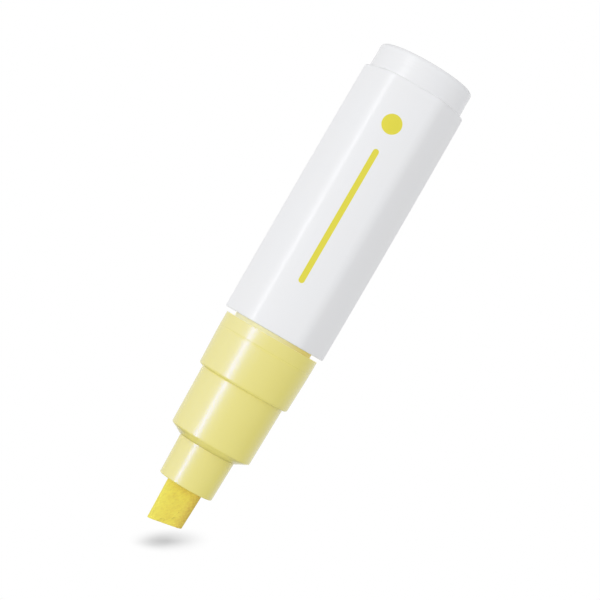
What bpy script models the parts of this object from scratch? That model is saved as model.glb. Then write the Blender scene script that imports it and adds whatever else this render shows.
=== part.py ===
"""Valve-action paint marker with a broad chisel nib.

The marker stands on its tail with its axis on Z and its nib up. One face of the barrel looks along -Y.
Pressing the nib pushes the valve stem back against its spring, and paint flows past the seat to the nib.
"""

import math

import bmesh
import bpy
from mathutils import Matrix, Vector

MM = 0.001

# Clearances
FIT_GAP = 0.15 * MM
SEAT_GAP = 0.3 * MM
RIB_GAP = 0.08 * MM
BALL_GAP = 0.8 * MM
WEB_GAP = 0.7 * MM

# Tail plug
TAIL_HEAD_LENGTH = 5.5 * MM
TAIL_HEAD_DIAMETER = 23.1 * MM
TAIL_EDGE_RADIUS = 0.9 * MM
TAIL_WAIST_START = 1.8 * MM
TAIL_WAIST_LENGTH = 1.5 * MM
TAIL_WAIST_DEPTH = 0.12 * MM
TAIL_FLOOR = 2.0 * MM
TAIL_SPIGOT_LENGTH = 7.0 * MM
TAIL_SPIGOT_WALL = 1.4 * MM
GATE_RECESS_DIAMETER = 6.0 * MM
GATE_RECESS_DEPTH = 0.5 * MM

# Barrel
BARREL_LENGTH = 62.3 * MM
BARREL_ACROSS_FACES = 23.5 * MM
BARREL_FACE_RADIUS = 33.0 * MM
BARREL_CORNER_RADIUS = 4.0 * MM
BARREL_RIM_RADIUS = 0.5 * MM
BARREL_WALL = 2.0 * MM
BARREL_LEAD_IN = 0.4 * MM

# Front housing
HOUSING_SPIGOT_LENGTH = 8.0 * MM
HOUSING_SPIGOT_WALL = 1.3 * MM
NECK_LENGTH = 0.8 * MM
COLLAR_LENGTH = 13.0 * MM
COLLAR_DIAMETER = 23.0 * MM
COLLAR_TAPER = 0.7 * MM
COLLAR_LAND = 3.3 * MM
COLLAR_EDGE_RADIUS = 0.5 * MM
COLLAR_LINE_WIDTH = 0.5 * MM
COLLAR_LINE_DEPTH = 0.12 * MM
SHANK_LENGTH = 14.1 * MM
SHANK_DIAMETER = 20.3 * MM
SHANK_TAPER = 0.6 * MM
NOSE_CONE_LENGTH = 1.5 * MM
NOSE_LIP = 0.1 * MM
NOSE_EDGE_RADIUS = 0.4 * MM
WEB_THICKNESS = 2.0 * MM

# Nib holder
HOLDER_EXPOSED_LENGTH = 9.6 * MM
HOLDER_INSERT_LENGTH = 14.0 * MM
HOLDER_DIAMETER = 13.5 * MM
HOLDER_TAPER = 0.5 * MM
HOLDER_EDGE_RADIUS = 0.25 * MM
VENT_WIDTH = 1.6 * MM
VENT_DEPTH = 0.8 * MM

# Nib
NIB_WIDTH = 8.5 * MM
NIB_TAPER = 0.6 * MM
NIB_THICKNESS = 5.4 * MM
NIB_CORNER_RADIUS = 1.6 * MM
NIB_EXPOSED_LENGTH = 10.0 * MM
NIB_SLANT = math.radians(10.5)
NIB_STROKE = 2.0 * MM
NIB_OVERRUN = 0.5 * MM

# Valve
VALVE_BODY_LENGTH = 9.0 * MM
VALVE_BODY_WALL = 1.0 * MM
SEAT_WALL = 2.0 * MM
SEAT_LIP_WIDTH = 0.6 * MM
SEAT_LIP_HEIGHT = 0.5 * MM
FLOW_HOLE_DIAMETER = 4.2 * MM
SEAL_DIAMETER = 6.2 * MM
SEAL_THICKNESS = 1.2 * MM
SEAL_EDGE_RADIUS = 0.3 * MM
STEM_DIAMETER = 2.4 * MM
STEM_HEAD_DIAMETER = 6.6 * MM
STEM_HEAD_THICKNESS = 1.5 * MM
STEM_BOSS_LENGTH = 1.0 * MM
STEM_TAIL = 0.5 * MM
STEM_END_RADIUS = 0.5 * MM
CAGE_LENGTH = 15.0 * MM
CAGE_GRIP = 4.0 * MM
CAGE_WALL = 1.0 * MM
CAGE_FLOOR = 1.2 * MM
CAGE_WINDOW_WIDTH = 4.0 * MM
CAGE_SILL = 1.5 * MM
SPRING_WIRE = 0.7 * MM
SPRING_DIAMETER = 5.0 * MM
SPRING_TURNS = 7
SPRING_END_TURNS = 1
SPRING_END_GAP = 0.08 * MM

# Mixing balls
BALL_DIAMETER = 4.5 * MM
BALL_COUNT = 2

# Sealing ribs
RIB_COUNT = 2
RIB_WIDTH = 0.8 * MM

# Facets, the largest share of an edge that a fillet may take, and the bend below which faces count as one
FILLET_LIMIT = 0.45
FLAT_ANGLE = math.radians(0.1)
ROUND_STEPS = 48
INNER_ROUND_STEPS = 36
SMALL_ROUND_STEPS = 24
ARC_STEPS = 3
FACE_STEPS = 4
CORNER_STEPS = 6
COIL_STEPS = 16
BALL_RINGS = 10

# Heights along the axis, from the tail to the nib
BARREL_REAR = TAIL_HEAD_LENGTH + SEAT_GAP
BARREL_FRONT = BARREL_REAR + BARREL_LENGTH
HOUSING_REAR = BARREL_FRONT - HOUSING_SPIGOT_LENGTH
NOSE = BARREL_FRONT + NECK_LENGTH + COLLAR_LENGTH + SHANK_LENGTH + NOSE_CONE_LENGTH
HOLDER_REAR = NOSE - HOLDER_INSERT_LENGTH
HOLDER_FRONT = NOSE + HOLDER_EXPOSED_LENGTH
WEB_FRONT = HOLDER_REAR - SEAT_GAP
WEB_REAR = WEB_FRONT - WEB_THICKNESS
VALVE_FRONT = WEB_REAR - SEAT_GAP
VALVE_REAR = VALVE_FRONT - VALVE_BODY_LENGTH
NIB_REAR = VALVE_FRONT + NIB_STROKE + NIB_OVERRUN
NIB_TIP = HOLDER_FRONT + NIB_EXPOSED_LENGTH
SEAL_FRONT = VALVE_FRONT - SEAT_WALL - SEAT_LIP_HEIGHT - SEAT_GAP
SEAL_REAR = SEAL_FRONT - SEAL_THICKNESS
HEAD_FRONT = SEAL_REAR - SEAT_GAP
HEAD_REAR = HEAD_FRONT - STEM_HEAD_THICKNESS
CAGE_FRONT = VALVE_REAR + CAGE_GRIP
CAGE_REAR = CAGE_FRONT - CAGE_LENGTH
STEM_REAR = CAGE_REAR - STEM_TAIL
STEM_TIP = NIB_REAR - SEAT_GAP
SPRING_REAR = CAGE_REAR + CAGE_FLOOR + SEAT_GAP
SPRING_FRONT = HEAD_REAR - SEAT_GAP

# Radii that fit into one another
BARREL_BORE_RADIUS = BARREL_ACROSS_FACES / 2 - BARREL_WALL
SPIGOT_RADIUS = BARREL_BORE_RADIUS - FIT_GAP
TAIL_CUP_RADIUS = SPIGOT_RADIUS - TAIL_SPIGOT_WALL
HOLDER_BORE_RADIUS = HOLDER_DIAMETER / 2 + FIT_GAP
WEB_HOLE_RADIUS = math.hypot(NIB_WIDTH, NIB_THICKNESS) / 2 + WEB_GAP
VALVE_BORE_RADIUS = SPIGOT_RADIUS - HOUSING_SPIGOT_WALL
VALVE_BODY_RADIUS = VALVE_BORE_RADIUS - FIT_GAP
SKIRT_RADIUS = VALVE_BODY_RADIUS - VALVE_BODY_WALL
CAGE_RADIUS = SKIRT_RADIUS - FIT_GAP
STEM_GUIDE_RADIUS = STEM_DIAMETER / 2 + FIT_GAP
STEM_BOSS_RADIUS = (SPRING_DIAMETER - SPRING_WIRE) / 2 - FIT_GAP

WHITE = (0.86, 0.87, 0.88, 1.0)
PALE_YELLOW = (0.82, 0.75, 0.26, 1.0)
FELT_YELLOW = (0.80, 0.64, 0.08, 1.0)
NATURAL = (0.80, 0.80, 0.76, 1.0)
RUBBER = (0.06, 0.06, 0.06, 1.0)
STEEL = (0.60, 0.60, 0.62, 1.0)


def clear_scene():
    """Start from an empty scene."""
    for item in list(bpy.data.objects):
        bpy.data.objects.remove(item, do_unlink=True)


def new_collection(name):
    """Add a collection under the scene."""
    collection = bpy.data.collections.new(name)
    bpy.context.scene.collection.children.link(collection)
    return collection


def new_material(name, color, roughness, metallic=0.0):
    """Plain finish of one sub-part."""
    material = bpy.data.materials.new(name)
    material.use_nodes = True
    shader = material.node_tree.nodes["Principled BSDF"]
    shader.inputs["Base Color"].default_value = color
    shader.inputs["Roughness"].default_value = roughness
    shader.inputs["Metallic"].default_value = metallic
    return material


def add_object(name, data, height, collection):
    """Place a mesh or curve on the marker's axis at the given height."""
    item = bpy.data.objects.new(name, data)
    item.location.z = height
    collection.objects.link(item)
    return item


def rounded(corners):
    """Turn corners of (radius, height, fillet) into points, with an arc in place of each filleted corner."""
    points = []
    for index, (radius, height, fillet) in enumerate(corners):
        corner = Vector((radius, height))
        if fillet == 0:
            points.append(corner)
            continue
        following = corners[(index + 1) % len(corners)]
        back = Vector(corners[index - 1][:2]) - corner
        ahead = Vector(following[:2]) - corner
        half_angle = back.angle(ahead) / 2
        reach = min(fillet / math.tan(half_angle), FILLET_LIMIT * min(back.length, ahead.length))
        back.normalize()
        ahead.normalize()
        centre = corner + (back + ahead).normalized() * reach / math.cos(half_angle)
        spoke = corner + back * reach - centre
        turn = math.copysign(math.pi - 2 * half_angle, ahead.cross(back))
        for step in range(ARC_STEPS + 1):
            points.append(centre + Matrix.Rotation(turn * step / ARC_STEPS, 2) @ spoke)
    return points


def turned(name, corners, height, collection, steps=ROUND_STEPS):
    """Turned piece from corners that run down its outer side; a first corner on the axis makes it solid."""
    points = rounded(corners)
    links = [(index, index + 1) for index in range(len(points) - 1)]
    if points[0].x > 0:
        links.append((len(points) - 1, 0))
    mesh = bpy.data.meshes.new(name)
    mesh.from_pydata([(point.x, 0, point.y) for point in points], links, [])
    item = add_object(name, mesh, height, collection)
    screw = item.modifiers.new("turn", "SCREW")
    screw.axis = "Z"
    screw.angle = 2 * math.pi
    screw.steps = steps
    screw.render_steps = steps
    screw.use_merge_vertices = True
    screw.merge_threshold = 0.001 * MM
    screw.use_smooth_shade = False
    return item


def prism(name, outline, length, height, collection):
    """Straight piece with a closed outline in plan, rising from the given height."""
    curve = bpy.data.curves.new(name, "CURVE")
    curve.dimensions = "2D"
    curve.fill_mode = "BOTH"
    curve.extrude = length / 2
    spline = curve.splines.new("POLY")
    spline.points.add(len(outline) - 1)
    for place, point in zip(spline.points, outline):
        place.co = (point.x, point.y, 0, 1)
    spline.use_cyclic_u = True
    drawn = add_object(name + "_outline", curve, height + length / 2, collection)
    return as_mesh(name, drawn, collection)


def as_mesh(name, drawn, collection):
    """Replace a drawn curve by a closed mesh at the same place, with each flat end as one face."""
    bpy.context.view_layer.update()
    evaluated = drawn.evaluated_get(bpy.context.evaluated_depsgraph_get())
    mesh = bpy.data.meshes.new_from_object(evaluated)
    mesh.name = name
    shape = bmesh.new()
    shape.from_mesh(mesh)
    bmesh.ops.remove_doubles(shape, verts=shape.verts, dist=0.001 * MM)
    bmesh.ops.dissolve_limit(shape, angle_limit=FLAT_ANGLE, verts=shape.verts, edges=shape.edges)
    shape.to_mesh(mesh)
    shape.free()
    item = bpy.data.objects.new(name, mesh)
    item.matrix_world = drawn.matrix_world
    collection.objects.link(item)
    bpy.data.objects.remove(drawn, do_unlink=True)
    return item


def block(name, size, centre, collection):
    """Rectangular block about a point."""
    shape = bmesh.new()
    bmesh.ops.create_cube(shape, size=1.0, matrix=Matrix.Diagonal((*size, 1.0)))
    mesh = bpy.data.meshes.new(name)
    shape.to_mesh(mesh)
    shape.free()
    item = add_object(name, mesh, 0.0, collection)
    item.location = centre
    return item


def cut(item, cutter):
    """Take the cutter's shape out of a piece."""
    cutter.hide_render = True
    cutter.display_type = "WIRE"
    boolean = item.modifiers.new(cutter.name, "BOOLEAN")
    boolean.operation = "DIFFERENCE"
    boolean.solver = "EXACT"
    boolean.object = cutter


def round_edges(item, radius):
    """Round the square edges of a piece."""
    bevel = item.modifiers.new("rounding", "BEVEL")
    bevel.limit_method = "ANGLE"
    bevel.angle_limit = math.radians(60)
    bevel.width = radius
    bevel.segments = ARC_STEPS


def rib_corners(radius, bore_radius, bottom, top):
    """Sealing ribs spread over a cylinder, from the top down, that almost reach the bore around it."""
    corners = []
    pitch = (top - bottom) / (RIB_COUNT + 1)
    for index in range(RIB_COUNT):
        crest = top - (index + 1) * pitch
        corners.append((radius, crest + RIB_WIDTH / 2, 0))
        corners.append((bore_radius - RIB_GAP, crest, 0))
        corners.append((radius, crest - RIB_WIDTH / 2, 0))
    return corners


def rectangle_outline(width, depth, corner_radius):
    """Rounded rectangle about the axis, in plan."""
    half_width = width / 2
    half_depth = depth / 2
    return rounded([
        (half_width, half_depth, corner_radius),
        (half_width, -half_depth, corner_radius),
        (-half_width, -half_depth, corner_radius),
        (-half_width, half_depth, corner_radius),
    ])


def arc(centre, radius, start, end, steps):
    """Points along an arc, without its end point."""
    points = []
    for step in range(steps):
        angle = start + (end - start) * step / steps
        points.append(centre + radius * Vector((math.cos(angle), math.sin(angle))))
    return points


def barrel_outline():
    """Six crowned faces that run smoothly into six rounded corners."""
    sides = 6
    half_side = math.pi / sides
    crown_offset = BARREL_FACE_RADIUS - BARREL_ACROSS_FACES / 2
    reach = BARREL_FACE_RADIUS - BARREL_CORNER_RADIUS
    side_step = crown_offset * math.sin(half_side)
    corner_offset = math.sqrt(reach ** 2 - side_step ** 2) - crown_offset * math.cos(half_side)
    join = math.asin(corner_offset * math.sin(half_side) / reach)
    outline = []
    for side in range(sides):
        facing = math.pi / 2 + 2 * half_side * side
        face_centre = Vector((math.cos(facing), math.sin(facing))) * -crown_offset
        corner_line = facing + half_side
        corner_centre = Vector((math.cos(corner_line), math.sin(corner_line))) * corner_offset
        outline += arc(face_centre, BARREL_FACE_RADIUS, facing - join, facing + join, FACE_STEPS)
        outline += arc(
            corner_centre,
            BARREL_CORNER_RADIUS,
            facing + join,
            facing + 2 * half_side - join,
            CORNER_STEPS,
        )
    return outline


def make_tail_plug(parts):
    """Hollow plug: a round head that shows behind the barrel and a ribbed spigot inside it."""
    head = TAIL_HEAD_DIAMETER / 2
    waist = head - TAIL_WAIST_DEPTH
    waist_end = TAIL_WAIST_START + TAIL_WAIST_LENGTH
    top = TAIL_HEAD_LENGTH + TAIL_SPIGOT_LENGTH
    recess = GATE_RECESS_DIAMETER / 2
    corners = [
        (0, TAIL_FLOOR, 0),
        (TAIL_CUP_RADIUS, TAIL_FLOOR, 0),
        (TAIL_CUP_RADIUS, top, 0),
        (SPIGOT_RADIUS, top, TAIL_SPIGOT_WALL / 3),
    ]
    corners += rib_corners(SPIGOT_RADIUS, BARREL_BORE_RADIUS, TAIL_HEAD_LENGTH, top)
    corners += [
        (SPIGOT_RADIUS, TAIL_HEAD_LENGTH, 0),
        (head, TAIL_HEAD_LENGTH, 0),
        (head, waist_end + TAIL_WAIST_DEPTH, 0),
        (waist, waist_end, 0),
        (waist, TAIL_WAIST_START, 0),
        (head, TAIL_WAIST_START - TAIL_WAIST_DEPTH, 0),
        (head, 0, TAIL_EDGE_RADIUS),
        (recess, 0, 0),
        (recess, GATE_RECESS_DEPTH, 0),
        (0, GATE_RECESS_DEPTH, 0),
    ]
    return turned("tail_plug", corners, 0.0, parts)


def make_barrel(parts, cutters):
    """Rounded hexagonal tube with a round bore that is eased at both mouths."""
    barrel = prism("barrel", barrel_outline(), BARREL_LENGTH, BARREL_REAR, parts)
    round_edges(barrel, BARREL_RIM_RADIUS)
    past = BARREL_LEAD_IN
    mouth = BARREL_BORE_RADIUS + BARREL_LEAD_IN + past
    corners = [
        (0, BARREL_LENGTH + past, 0),
        (mouth, BARREL_LENGTH + past, 0),
        (BARREL_BORE_RADIUS, BARREL_LENGTH - BARREL_LEAD_IN, 0),
        (BARREL_BORE_RADIUS, BARREL_LEAD_IN, 0),
        (mouth, -past, 0),
        (0, -past, 0),
    ]
    cut(barrel, turned("barrel_bore", corners, BARREL_REAR, cutters))
    return barrel


def make_front_housing(parts):
    """Stepped moulding, bored for valve and nib holder: ribbed spigot, neck, collar, shank and nose cone."""
    collar_rear = HOUSING_SPIGOT_LENGTH + NECK_LENGTH
    land_front = collar_rear + COLLAR_LAND
    shank_rear = collar_rear + COLLAR_LENGTH
    cone_rear = shank_rear + SHANK_LENGTH
    nose = cone_rear + NOSE_CONE_LENGTH
    collar = COLLAR_DIAMETER / 2
    line = collar - COLLAR_LINE_DEPTH
    half_line = COLLAR_LINE_WIDTH / 2
    web_rear = WEB_REAR - HOUSING_REAR
    web_front = WEB_FRONT - HOUSING_REAR
    corners = [
        (HOLDER_BORE_RADIUS + NOSE_LIP, nose, 0),
        ((SHANK_DIAMETER - SHANK_TAPER) / 2, cone_rear, NOSE_EDGE_RADIUS),
        (SHANK_DIAMETER / 2, shank_rear, 0),
        (collar - COLLAR_TAPER / 2, shank_rear, COLLAR_EDGE_RADIUS),
        (collar, land_front + half_line, 0),
        (line, land_front, 0),
        (collar, land_front - half_line, 0),
        (collar, collar_rear, COLLAR_EDGE_RADIUS),
        (SPIGOT_RADIUS, collar_rear, 0),
    ]
    corners += rib_corners(SPIGOT_RADIUS, BARREL_BORE_RADIUS, 0.0, HOUSING_SPIGOT_LENGTH)
    corners += [
        (SPIGOT_RADIUS, 0, COLLAR_EDGE_RADIUS),
        (VALVE_BORE_RADIUS, 0, 0),
        (VALVE_BORE_RADIUS, web_rear, 0),
        (WEB_HOLE_RADIUS, web_rear, 0),
        (WEB_HOLE_RADIUS, web_front, 0),
        (HOLDER_BORE_RADIUS, web_front, 0),
        (HOLDER_BORE_RADIUS, nose, 0),
    ]
    return turned("front_housing", corners, HOUSING_REAR, parts)


def make_nib_holder(parts, cutters):
    """Sleeve pushed into the nose, with a slot that guides the nib and a vent on each narrow side of it."""
    shown = HOLDER_INSERT_LENGTH
    length = HOLDER_INSERT_LENGTH + HOLDER_EXPOSED_LENGTH
    radius = HOLDER_DIAMETER / 2
    corners = [
        (0, length, 0),
        (radius - HOLDER_TAPER / 2, length, HOLDER_EDGE_RADIUS),
        (radius, shown, 0),
    ]
    corners += rib_corners(radius, HOLDER_BORE_RADIUS, 0.0, shown)
    corners += [
        (radius, 0, HOLDER_EDGE_RADIUS),
        (0, 0, 0),
    ]
    holder = turned("nib_holder", corners, HOLDER_REAR, parts)
    slot_width = NIB_WIDTH + 2 * FIT_GAP
    slot_depth = NIB_THICKNESS + 2 * FIT_GAP
    outline = rectangle_outline(slot_width, slot_depth, NIB_CORNER_RADIUS + FIT_GAP)
    through = length + 2 * SEAT_GAP
    cut(holder, prism("nib_slot", outline, through, HOLDER_REAR - SEAT_GAP, cutters))
    vents = block(
        "nib_vents",
        (slot_width + 2 * VENT_DEPTH, VENT_WIDTH, through),
        (0, 0, HOLDER_REAR + length / 2),
        cutters,
    )
    cut(holder, vents)
    return holder


def make_nib(parts, cutters):
    """Fibre block, tapered over its exposed end and cut off at a slant."""
    length = NIB_TIP - NIB_REAR
    outline = rectangle_outline(NIB_WIDTH, NIB_THICKNESS, NIB_CORNER_RADIUS)
    nib = prism("nib", outline, length, NIB_REAR, parts)
    shape = bmesh.new()
    shape.from_mesh(nib.data)
    taper_start = HOLDER_FRONT - NIB_REAR - length / 2
    bmesh.ops.bisect_plane(
        shape,
        geom=shape.verts[:] + shape.edges[:] + shape.faces[:],
        plane_co=(0, 0, taper_start),
        plane_no=(0, 0, 1),
        dist=0.001 * MM,
    )
    narrowing = NIB_TAPER / 2
    for vertex in shape.verts:
        if vertex.co.z > length / 2 - 0.001 * MM:
            vertex.co.x -= math.copysign(narrowing, vertex.co.x)
    shape.to_mesh(nib.data)
    shape.free()
    waste = 2 * NIB_WIDTH
    slant = Matrix.Rotation(-NIB_SLANT, 4, "Y")
    corner = Vector(((NIB_WIDTH - NIB_TAPER) / 2, 0, NIB_TIP))
    cutter = block("nib_end", (waste, waste, waste), corner + slant @ Vector((0, 0, waste / 2)), cutters)
    cutter.rotation_euler = slant.to_euler()
    cut(nib, cutter)
    return nib


def make_valve_body(parts):
    """Ribbed cup with its closed end forward: the wall carries a flow hole and a raised seat lip."""
    seat = VALVE_BODY_LENGTH - SEAT_WALL
    flow = FLOW_HOLE_DIAMETER / 2
    lip = flow + SEAT_LIP_WIDTH
    corners = [(VALVE_BODY_RADIUS, VALVE_BODY_LENGTH, VALVE_BODY_WALL / 3)]
    corners += rib_corners(VALVE_BODY_RADIUS, VALVE_BORE_RADIUS, 0.0, VALVE_BODY_LENGTH)
    corners += [
        (VALVE_BODY_RADIUS, 0, 0),
        (SKIRT_RADIUS, 0, 0),
        (SKIRT_RADIUS, seat, 0),
        (lip, seat, 0),
        (lip, seat - SEAT_LIP_HEIGHT, 0),
        (flow, seat - SEAT_LIP_HEIGHT, 0),
        (flow, VALVE_BODY_LENGTH, 0),
    ]
    return turned("valve_body", corners, VALVE_REAR, parts, INNER_ROUND_STEPS)


def make_valve_seal(parts):
    """Soft washer around the stem that closes the seat lip."""
    outer = SEAL_DIAMETER / 2
    corners = [
        (outer, SEAL_THICKNESS, SEAL_EDGE_RADIUS),
        (outer, 0, SEAL_EDGE_RADIUS),
        (STEM_GUIDE_RADIUS, 0, 0),
        (STEM_GUIDE_RADIUS, SEAL_THICKNESS, 0),
    ]
    return turned("valve_seal", corners, SEAL_REAR, parts, SMALL_ROUND_STEPS)


def make_valve_stem(parts):
    """Plunger: a rod from the nib to the cage, with a head that carries the seal and centres the spring."""
    rod = STEM_DIAMETER / 2
    head = STEM_HEAD_DIAMETER / 2
    tip = STEM_TIP - STEM_REAR
    head_front = HEAD_FRONT - STEM_REAR
    head_rear = HEAD_REAR - STEM_REAR
    boss_rear = head_rear - STEM_BOSS_LENGTH
    corners = [
        (0, tip, 0),
        (rod, tip, STEM_END_RADIUS),
        (rod, head_front, 0),
        (head, head_front, 0),
        (head, head_rear, 0),
        (STEM_BOSS_RADIUS, head_rear, 0),
        (STEM_BOSS_RADIUS, boss_rear, 0),
        (rod, boss_rear, 0),
        (rod, 0, STEM_END_RADIUS),
        (0, 0, 0),
    ]
    return turned("valve_stem", corners, STEM_REAR, parts, SMALL_ROUND_STEPS)


def make_spring_cage(parts, cutters):
    """Cup behind the valve: a floor that guides the stem and four windows that let the paint in."""
    inner = CAGE_RADIUS - CAGE_WALL
    corners = [
        (CAGE_RADIUS, CAGE_LENGTH, CAGE_WALL / 3),
        (CAGE_RADIUS, 0, CAGE_WALL / 3),
        (STEM_GUIDE_RADIUS, 0, 0),
        (STEM_GUIDE_RADIUS, CAGE_FLOOR, 0),
        (inner, CAGE_FLOOR, 0),
        (inner, CAGE_LENGTH, 0),
    ]
    cage = turned("spring_cage", corners, CAGE_REAR, parts, INNER_ROUND_STEPS)
    window_bottom = CAGE_REAR + CAGE_FLOOR + CAGE_SILL
    window_top = VALVE_REAR - CAGE_SILL
    middle = (0, 0, (window_bottom + window_top) / 2)
    tall = window_top - window_bottom
    across = 2 * CAGE_RADIUS + 2 * CAGE_WALL
    cut(cage, block("cage_window_x", (across, CAGE_WINDOW_WIDTH, tall), middle, cutters))
    cut(cage, block("cage_window_y", (CAGE_WINDOW_WIDTH, across, tall), middle, cutters))
    return cage


def make_return_spring(parts):
    """Round wire coil with closed end turns, between the floor of the cage and the head of the stem."""
    bottom = SPRING_WIRE / 2
    top = SPRING_FRONT - SPRING_REAR - SPRING_WIRE / 2
    end_pitch = SPRING_WIRE + SPRING_END_GAP
    end_rise = SPRING_END_TURNS * end_pitch
    open_turns = SPRING_TURNS - 2 * SPRING_END_TURNS
    open_pitch = (top - bottom - 2 * end_rise) / open_turns
    curve = bpy.data.curves.new("return_spring", "CURVE")
    curve.dimensions = "3D"
    curve.bevel_depth = SPRING_WIRE / 2
    curve.bevel_resolution = 2
    curve.use_fill_caps = True
    spline = curve.splines.new("POLY")
    spline.points.add(SPRING_TURNS * COIL_STEPS)
    radius = SPRING_DIAMETER / 2
    for index, place in enumerate(spline.points):
        turn = index / COIL_STEPS
        opened = min(max(turn - SPRING_END_TURNS, 0), open_turns)
        rise = bottom + (turn - opened) * end_pitch + opened * open_pitch
        angle = 2 * math.pi * turn
        place.co = (radius * math.cos(angle), radius * math.sin(angle), rise, 1)
    return add_object("return_spring", curve, SPRING_REAR, parts)


def make_mixing_ball(index, parts):
    """Steel ball that lies on the floor of the tail plug, in its own lane beside the axis."""
    name = f"mixing_ball_{index + 1}"
    shape = bmesh.new()
    bmesh.ops.create_uvsphere(
        shape,
        u_segments=2 * BALL_RINGS,
        v_segments=BALL_RINGS,
        radius=BALL_DIAMETER / 2,
    )
    mesh = bpy.data.meshes.new(name)
    shape.to_mesh(mesh)
    shape.free()
    ball = add_object(name, mesh, TAIL_FLOOR + SEAT_GAP + BALL_DIAMETER / 2, parts)
    angle = 2 * math.pi * index / BALL_COUNT
    offset = TAIL_CUP_RADIUS - BALL_GAP - BALL_DIAMETER / 2
    ball.location.x = offset * math.cos(angle)
    ball.location.y = offset * math.sin(angle)
    return ball


def finish(item, material, parent):
    """Give a piece its finish and hang it on its axis, where it stands."""
    item.data.materials.append(material)
    if item.type == "MESH":
        item.data.shade_smooth()
        item.data.set_sharp_from_angle(angle=math.radians(30))
    item.parent = parent
    item.matrix_parent_inverse = parent.matrix_world.inverted()


def new_axis(name, height, parts):
    """Empty on the marker's axis that carries pieces."""
    axis = add_object(name, None, height, parts)
    bpy.context.view_layer.update()
    return axis


def main():
    clear_scene()
    parts = new_collection("paint_marker")
    cutters = new_collection("cutters")
    white = new_material("white_plastic", WHITE, 0.3)
    yellow = new_material("yellow_plastic", PALE_YELLOW, 0.25)
    felt = new_material("nib_felt", FELT_YELLOW, 0.9)
    natural = new_material("natural_plastic", NATURAL, 0.5)
    rubber = new_material("seal_rubber", RUBBER, 0.7)
    steel = new_material("steel", STEEL, 0.25, 1.0)
    casing = new_axis("casing_axis", 0.0, parts)
    nib_axis = new_axis("nib_press_axis", NIB_REAR, parts)
    valve_axis = new_axis("valve_lift_axis", HEAD_FRONT, parts)
    finish(make_tail_plug(parts), white, casing)
    finish(make_barrel(parts, cutters), white, casing)
    finish(make_front_housing(parts), yellow, casing)
    finish(make_nib_holder(parts, cutters), yellow, casing)
    finish(make_valve_body(parts), natural, casing)
    finish(make_spring_cage(parts, cutters), natural, casing)
    finish(make_return_spring(parts), steel, casing)
    finish(make_nib(parts, cutters), felt, nib_axis)
    finish(make_valve_stem(parts), natural, valve_axis)
    finish(make_valve_seal(parts), rubber, valve_axis)
    for index in range(BALL_COUNT):
        finish(make_mixing_ball(index, parts), steel, casing)


main()
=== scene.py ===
# %% [markdown]
# # Dressing a paint marker
# The marker arrives as a set of plain solids with the right sizes and places. This lesson gives it its
# looks: finer meshes for the pieces that show, a finish for every piece, and a small photo studio around
# it. The solids stay where they are, so everything below is measured from them and nothing is fitted by
# eye.

# %% Load the solids
import math

import bmesh
import bpy
from mathutils import Matrix, Vector, noise


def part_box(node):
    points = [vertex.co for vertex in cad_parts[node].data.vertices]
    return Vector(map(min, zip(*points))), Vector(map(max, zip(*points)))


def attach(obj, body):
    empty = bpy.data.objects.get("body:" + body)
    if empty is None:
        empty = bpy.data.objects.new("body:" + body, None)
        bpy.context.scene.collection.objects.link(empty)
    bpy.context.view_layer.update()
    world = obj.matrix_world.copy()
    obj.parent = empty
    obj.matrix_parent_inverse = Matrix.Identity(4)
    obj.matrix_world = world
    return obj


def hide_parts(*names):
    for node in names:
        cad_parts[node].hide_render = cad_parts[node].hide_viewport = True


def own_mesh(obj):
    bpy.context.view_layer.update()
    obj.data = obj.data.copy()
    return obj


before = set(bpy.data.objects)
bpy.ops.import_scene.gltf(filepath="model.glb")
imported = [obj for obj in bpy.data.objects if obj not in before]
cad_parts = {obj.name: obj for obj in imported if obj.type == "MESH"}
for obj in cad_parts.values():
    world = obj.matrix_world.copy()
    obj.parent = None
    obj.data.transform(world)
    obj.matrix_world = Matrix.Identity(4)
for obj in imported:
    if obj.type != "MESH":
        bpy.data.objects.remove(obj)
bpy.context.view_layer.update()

MM = 0.001
print("nodes:", sorted(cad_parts))

# %% [markdown]
# ## Reading heights and radii
# The marker stands on its tail, with its axis on Z and the nib up. Two small helpers read the ends of a
# node along that axis and its largest radius. A size that no box can tell, such as a groove, is named where
# it is used.

# %% Helpers that measure a node
def ends(node):
    """Lowest and highest point of a node along the axis."""
    low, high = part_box(node)
    return low.z, high.z


def reach(node):
    """Half of a node's width across X."""
    low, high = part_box(node)
    return (high.x - low.x) / 2


barrel_rear, barrel_front = ends("barrel")
tail_end, tail_top = ends("tail_plug")
housing_rear, nose = ends("front_housing")
holder_rear, holder_front = ends("nib_holder")
nib_rear, nib_tip = ends("nib")
print(f"barrel from {barrel_rear / MM:.1f} to {barrel_front / MM:.1f} mm, nib tip at {nib_tip / MM:.1f} mm")

# %% [markdown]
# ## Profiles with rounded corners
# Moulded plastic has no knife edges. A profile is written as a few corners, each with the radius of its
# rounding, and this helper puts an arc in place of every rounded corner. The same helper serves profiles
# that are turned about the axis and outlines that are seen in plan, because both are just points in a
# plane.

# %% Helper that rounds corners
ARC_STEPS = 8


def rounded(corners):
    """Points of an outline whose corners are (across, along, rounding)."""
    points = []
    for index, (across, along, rounding) in enumerate(corners):
        corner = Vector((across, along))
        if rounding == 0:
            points.append(corner)
            continue
        back = (Vector(corners[index - 1][:2]) - corner).normalized()
        ahead = (Vector(corners[(index + 1) % len(corners)][:2]) - corner).normalized()
        half_angle = back.angle(ahead) / 2
        centre = corner + (back + ahead).normalized() * rounding / math.sin(half_angle)
        spoke = corner + back * rounding / math.tan(half_angle) - centre
        turn = math.copysign(math.pi - 2 * half_angle, ahead.cross(back))
        for step in range(ARC_STEPS + 1):
            points.append(centre + Matrix.Rotation(turn * step / ARC_STEPS, 2) @ spoke)
    return points


square = [(1, 1, 0.2), (1, -1, 0.2), (-1, -1, 0.2), (-1, 1, 0.2)]
print("a square with four rounded corners has", len(rounded(square)), "points")

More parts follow.
